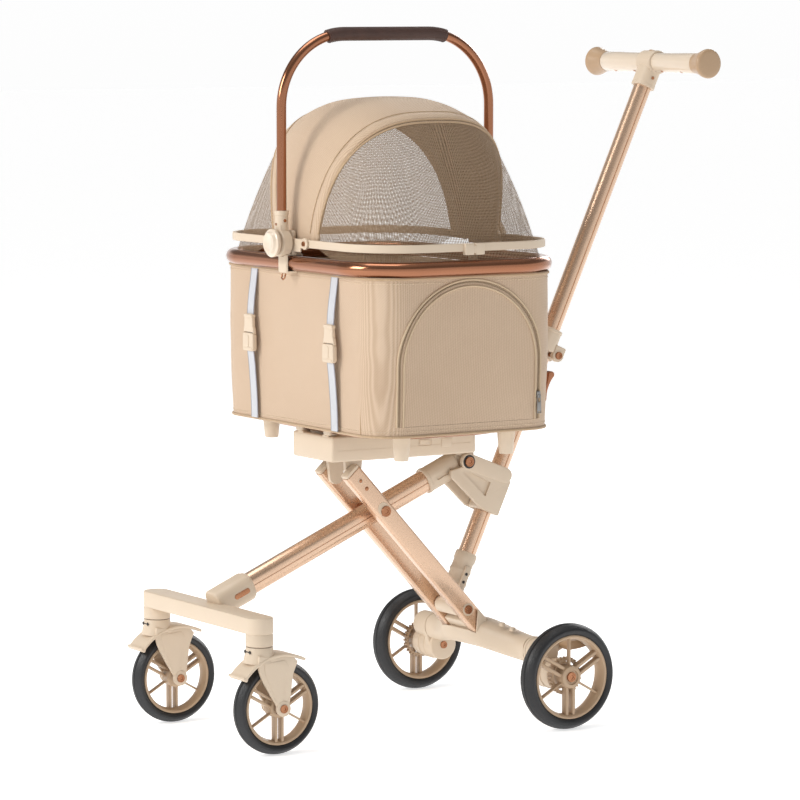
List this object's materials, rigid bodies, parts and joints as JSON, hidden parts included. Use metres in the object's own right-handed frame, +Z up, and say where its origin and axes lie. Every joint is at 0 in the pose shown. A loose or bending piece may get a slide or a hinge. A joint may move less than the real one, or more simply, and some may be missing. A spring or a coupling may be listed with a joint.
{
  "type": "pet stroller",
  "caption": "Folding pet stroller: scissor frame on wheels with front casters, folding push post with T bar, and a lift-off soft carrier with mesh canopy and carry handle.",
  "frame": {"origin": "centre of the bounding box on the floor", "axes": "+Z up, -Y the direction of travel, +X the left side"},
  "size_m": [0.541, 0.9438, 1.147],
  "materials": {
    "cream_plastic": "satin moulded plastic",
    "gloss_cream_plastic": "gloss moulded plastic",
    "tan_plastic": "satin moulded plastic",
    "copper_tube": "rose-copper gloss coating",
    "copper_bolt": "copper-coloured steel",
    "champagne_tube": "satin champagne anodising",
    "tyre_rubber": "textured rubber",
    "dark_leather": "dark brown leather",
    "twill_fabric": "fine ribbed twill",
    "mesh_fabric": "open knitted mesh",
    "webbing": "woven webbing",
    "cushion_fabric": "soft padded fabric"
  },
  "bodies": {
    "rear_frame": {"rear_leg_left": "champagne_tube", "rear_leg_right": "champagne_tube", "rear_axle_beam": "cream_plastic", "rear_wheel_bracket_left": "cream_plastic", "rear_wheel_bracket_right": "cream_plastic", "cross_pivot_bolt": "copper_bolt", "lower_leg_bolt": "copper_bolt"},
    "brake_left": {"brake_pedal_left": "tan_plastic"},
    "brake_right": {"brake_pedal_right": "tan_plastic"},
    "rear_wheel_left": {"rear_tyre_left": "tyre_rubber", "rear_rim_left": "cream_plastic"},
    "rear_wheel_right": {"rear_tyre_right": "tyre_rubber", "rear_rim_right": "cream_plastic"},
    "front_frame": {"front_leg": "champagne_tube", "front_leg_top_joint": "cream_plastic", "front_crossbar": "cream_plastic"},
    "caster_left": {"caster_fork_left": "cream_plastic", "front_axle_bolt_left": "copper_bolt"},
    "caster_right": {"caster_fork_right": "cream_plastic", "front_axle_bolt_right": "copper_bolt"},
    "front_wheel_left": {"front_tyre_left": "tyre_rubber", "front_rim_left": "cream_plastic"},
    "front_wheel_right": {"front_tyre_right": "tyre_rubber", "front_rim_right": "cream_plastic"},
    "platform": {"platform_base": "cream_plastic", "support_hoop": "copper_tube"},
    "slider": {"post_slider": "cream_plastic", "hub_bolt": "copper_bolt"},
    "post": {"lower_post_tube": "champagne_tube", "post_foot": "cream_plastic", "hinge_lower": "cream_plastic"},
    "lever": {"hinge_lever": "copper_tube"},
    "handle": {"upper_post_tube": "champagne_tube", "hinge_upper": "cream_plastic", "hinge_bolt": "copper_bolt", "tee_joint": "cream_plastic", "t_bar_grip": "gloss_cream_plastic", "t_bar_cap_left": "tan_plastic", "t_bar_cap_right": "tan_plastic"},
    "button": {"fold_button": "tan_plastic"},
    "carrier": {"basket_shell": "twill_fabric", "basket_base_tray": "cream_plastic", "rim_tube": "copper_tube", "closure_strap_left": "webbing", "closure_strap_right": "webbing", "sleeping_cushion": "cushion_fabric", "carry_handle_bracket_front": "cream_plastic", "carry_handle_bracket_rear": "cream_plastic", "hood_fabric": "twill_fabric"},
    "door": {"side_door": "twill_fabric"},
    "bail": {"carry_handle_tube": "copper_tube", "carry_handle_grip": "dark_leather", "carry_handle_socket_front": "cream_plastic", "carry_handle_socket_rear": "cream_plastic"},
    "knob_front": {"carry_handle_knob_front": "gloss_cream_plastic"},
    "knob_rear": {"carry_handle_knob_rear": "gloss_cream_plastic"},
    "lid_left": {"canopy_ring_left": "cream_plastic", "mesh_panel_left": "mesh_fabric"},
    "lid_right": {"canopy_ring_right": "cream_plastic", "mesh_panel_right": "mesh_fabric"}
  },
  "joints": [
    {"name": "front_fold", "type": "hinge", "parent": "rear_frame", "child": "front_frame", "pos_m": [0, -0.11892, 0.3565], "axis": [1, 0, 0], "range_deg": [0, 70]},
    {"name": "post_fold", "type": "hinge", "parent": "rear_frame", "child": "post", "pos_m": [0, 0.04208, 0.1807], "axis": [1, 0, 0], "range_deg": [0, 36.5]},
    {"name": "slider_fold", "type": "hinge", "parent": "front_frame", "child": "slider", "pos_m": [0, 0.05908, 0.425], "axis": [1, 0, 0], "range_deg": [-33.8, 0]},
    {"name": "platform_fold", "type": "hinge", "parent": "rear_frame", "child": "platform", "pos_m": [0, -0.16742, 0.4095], "axis": [1, 0, 0], "range_deg": [0, 77.2]},
    {"name": "handle_fold", "type": "hinge", "parent": "post", "child": "handle", "pos_m": [0, 0.24497, 0.59263], "axis": [1, 0, 0], "range_deg": [-120, 0]},
    {"name": "lever_pull", "type": "hinge", "parent": "post", "child": "lever", "pos_m": [0, 0.23669, 0.56013], "axis": [1, 0, 0], "range_deg": [0, 30], "stiffness_Nm_per_rad": 0.1},
    {"name": "button_press", "type": "slide", "parent": "handle", "child": "button", "axis": [0, -0.4163, -0.9092], "range_m": [0, 0.004], "stiffness_N_per_m": 600},
    {"name": "rear_wheel_left_spin", "type": "hinge", "parent": "rear_frame", "child": "rear_wheel_left", "pos_m": [0.23, 0.12008, 0.0875], "axis": [1, 0, 0], "continuous": true},
    {"name": "rear_wheel_right_spin", "type": "hinge", "parent": "rear_frame", "child": "rear_wheel_right", "pos_m": [-0.23, 0.12008, 0.0875], "axis": [1, 0, 0], "continuous": true},
    {"name": "brake_left_press", "type": "hinge", "parent": "rear_frame", "child": "brake_left", "pos_m": [0.195, 0.14408, 0.132], "axis": [-1, 0, 0], "range_deg": [0, 14]},
    {"name": "brake_right_press", "type": "hinge", "parent": "rear_frame", "child": "brake_right", "pos_m": [-0.195, 0.14408, 0.132], "axis": [-1, 0, 0], "range_deg": [0, 14]},
    {"name": "caster_left_swivel", "type": "hinge", "parent": "front_frame", "child": "caster_left", "pos_m": [0.169, -0.42592, 0.18], "axis": [0, 0, 1], "continuous": true},
    {"name": "caster_right_swivel", "type": "hinge", "parent": "front_frame", "child": "caster_right", "pos_m": [-0.169, -0.42592, 0.18], "axis": [0, 0, 1], "continuous": true},
    {"name": "front_wheel_left_spin", "type": "hinge", "parent": "caster_left", "child": "front_wheel_left", "pos_m": [0.169, -0.39592, 0.076], "axis": [1, 0, 0], "continuous": true},
    {"name": "front_wheel_right_spin", "type": "hinge", "parent": "caster_right", "child": "front_wheel_right", "pos_m": [-0.169, -0.39592, 0.076], "axis": [1, 0, 0], "continuous": true},
    {"name": "carrier_lift", "type": "slide", "parent": "platform", "child": "carrier", "axis": [0, 0, 1], "range_m": [0, 0.14]},
    {"name": "door_open", "type": "hinge", "parent": "carrier", "child": "door", "pos_m": [0.253, -0.08492, 0.517], "axis": [0, 1, 0], "range_deg": [0, 95]},
    {"name": "bail_swing", "type": "hinge", "parent": "carrier", "child": "bail", "pos_m": [0, -0.08492, 0.8], "axis": [0, 1, 0], "range_deg": [-90, 90]},
    {"name": "knob_front_press", "type": "slide", "parent": "bail", "child": "knob_front", "axis": [0, 1, 0], "range_m": [0, 0.003], "stiffness_N_per_m": 600},
    {"name": "knob_rear_press", "type": "slide", "parent": "bail", "child": "knob_rear", "axis": [0, -1, 0], "range_m": [0, 0.003], "stiffness_N_per_m": 600},
    {"name": "lid_left_lift", "type": "hinge", "parent": "carrier", "child": "lid_left", "pos_m": [0.05, -0.08492, 0.8], "axis": [0, -1, 0], "range_deg": [0, 40], "deforming": ["mesh_panel_left"]},
    {"name": "lid_right_lift", "type": "hinge", "parent": "carrier", "child": "lid_right", "pos_m": [-0.05, -0.08492, 0.8], "axis": [0, 1, 0], "range_deg": [0, 40], "deforming": ["mesh_panel_right"]}
  ],
  "couplings": [
    {"joint": "post_fold", "follows": "front_fold", "ratio": 0.5196},
    {"joint": "slider_fold", "follows": "front_fold", "ratio": -0.4804},
    {"joint": "platform_fold", "follows": "front_fold", "ratio": 1.1}
  ]
}
